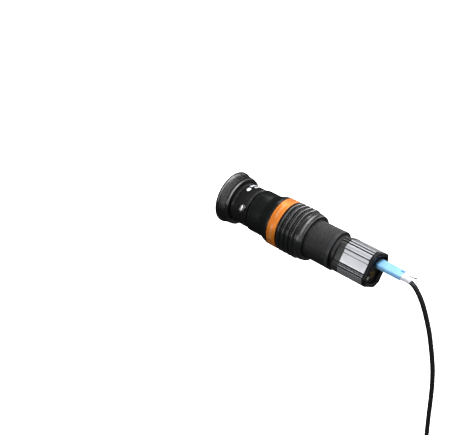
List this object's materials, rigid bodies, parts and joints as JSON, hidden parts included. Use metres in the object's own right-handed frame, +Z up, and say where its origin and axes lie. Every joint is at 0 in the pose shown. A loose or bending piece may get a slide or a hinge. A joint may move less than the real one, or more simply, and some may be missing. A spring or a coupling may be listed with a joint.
{
  "type": "astronomy camera with barlow lens and visual back",
  "caption": "Finned USB astronomy camera in a Barlow lens and a screw-on visual back, with clamp thumbscrews, internal boards and a coiled USB lead.",
  "frame": {"origin": "centre of the telescope thread's mouth, in the coupling ring's rear face", "axes": "+X along the optical axis, from the telescope towards the USB plug; +Z up"},
  "size_m": [0.2951, 0.0564, 0.3452],
  "materials": {
    "black_anodised": "satin",
    "barlow_black": "satin",
    "orange_anodised": "satin",
    "grey_anodised": "satin",
    "silver_anodised": "satin",
    "chrome_nose": "polished",
    "steel": "satin",
    "brass": "satin",
    "rubber_black": "matte",
    "lens_glass": "coated",
    "circuit_board": "satin",
    "black_plastic": "matte",
    "label_white": "satin",
    "lamp_lens": "gloss",
    "plug_blue": "satin",
    "relief_white": "satin",
    "cord_black": "gloss",
    "usb_blue": "satin"
  },
  "bodies": {
    "ring": {"coupling_ring": "black_anodised"},
    "visual_back": {"visual_back_body": "black_anodised", "visual_back_clamp_ring": "brass"},
    "back_screw": {"visual_back_screw_shank": "steel"},
    "back_knob": {"visual_back_screw_head": "steel"},
    "barlow_nose": {"barlow_nose_barrel": "chrome_nose", "barlow_lens_cell": "black_anodised", "barlow_lens_front": "lens_glass", "barlow_lens_spacer": "black_anodised", "barlow_lens_rear": "lens_glass", "barlow_lens_retainer": "black_anodised"},
    "barlow": {"barlow_body": "barlow_black", "orange_trim_ring": "orange_anodised", "rubber_grip": "rubber_black", "holder_collar": "barlow_black", "holder_clamp_ring": "brass"},
    "holder_screw": {"holder_screw_shank": "steel"},
    "holder_knob": {"holder_screw_head": "steel"},
    "camera_nose": {"camera_nose_barrel": "black_anodised"},
    "camera": {"knurled_adapter": "grey_anodised", "front_housing": "grey_anodised", "window_seal": "rubber_black", "sensor_window": "lens_glass", "window_retainer": "black_anodised", "front_housing_screws": "steel", "finned_housing": "silver_anodised", "label_plate": "label_white", "rear_cover": "black_plastic", "rear_panel": "black_plastic", "rear_cover_screws": "steel", "sensor_standoffs": "brass", "sensor_board": "circuit_board", "image_sensor": "black_plastic", "sensor_glass": "lens_glass", "board_standoffs": "brass", "board_connector": "relief_white", "main_board": "circuit_board", "usb_socket": "steel", "trigger_socket": "black_plastic", "trigger_socket_ring": "brass", "status_lamp": "lamp_lens"},
    "usb_lead": {"usb_plug_shell": "steel", "usb_plug_body": "plug_blue", "strain_relief": "relief_white", "relief_tie": "relief_white", "cord_lead": "cord_black", "cord_coil": "cord_black", "coil_tie": "black_plastic", "cord_tail": "cord_black", "usb_a_relief": "cord_black", "usb_a_body": "black_plastic", "usb_a_shell": "steel", "usb_a_tongue": "usb_blue"}
  },
  "joints": [
    {"name": "visual_back_turn", "type": "hinge", "parent": "ring", "child": "visual_back", "pos_m": [0.02, 0, 0], "axis": [1, 0, 0], "continuous": true},
    {"name": "back_screw_travel", "type": "slide", "parent": "visual_back", "child": "back_screw", "axis": [0, -0.887, 0.4617], "range_m": [0, 0.0014]},
    {"name": "back_knob_turn", "type": "hinge", "parent": "back_screw", "child": "back_knob", "pos_m": [0.0305, -0.02129, 0.01108], "axis": [0, -0.887, 0.4617], "range_deg": [0, 721]},
    {"name": "barlow_slide", "type": "slide", "parent": "visual_back", "child": "barlow_nose", "axis": [1, 0, 0], "range_m": [0, 0.03]},
    {"name": "barlow_turn", "type": "hinge", "parent": "barlow_nose", "child": "barlow", "pos_m": [0.04, 0, 0], "axis": [1, 0, 0], "continuous": true},
    {"name": "holder_screw_travel", "type": "slide", "parent": "barlow", "child": "holder_screw", "axis": [0, 0.7071, -0.7071], "range_m": [0, 0.0014]},
    {"name": "holder_knob_turn", "type": "hinge", "parent": "holder_screw", "child": "holder_knob", "pos_m": [0.103, 0.01909, -0.01909], "axis": [0, 0.7071, -0.7071], "range_deg": [0, 721]},
    {"name": "camera_slide", "type": "slide", "parent": "barlow", "child": "camera_nose", "axis": [1, 0, 0], "range_m": [0, 0.032]},
    {"name": "camera_turn", "type": "hinge", "parent": "camera_nose", "child": "camera", "pos_m": [0.11, 0, 0], "axis": [1, 0, 0], "continuous": true},
    {"name": "usb_unplug", "type": "slide", "parent": "camera", "child": "usb_lead", "axis": [1, 0, 0], "range_m": [0, 0.015]}
  ],
  "couplings": [
    {"joint": "back_knob_turn", "follows": "back_screw_travel", "rad_per_m": 8976},
    {"joint": "holder_knob_turn", "follows": "holder_screw_travel", "rad_per_m": 8976}
  ]
}
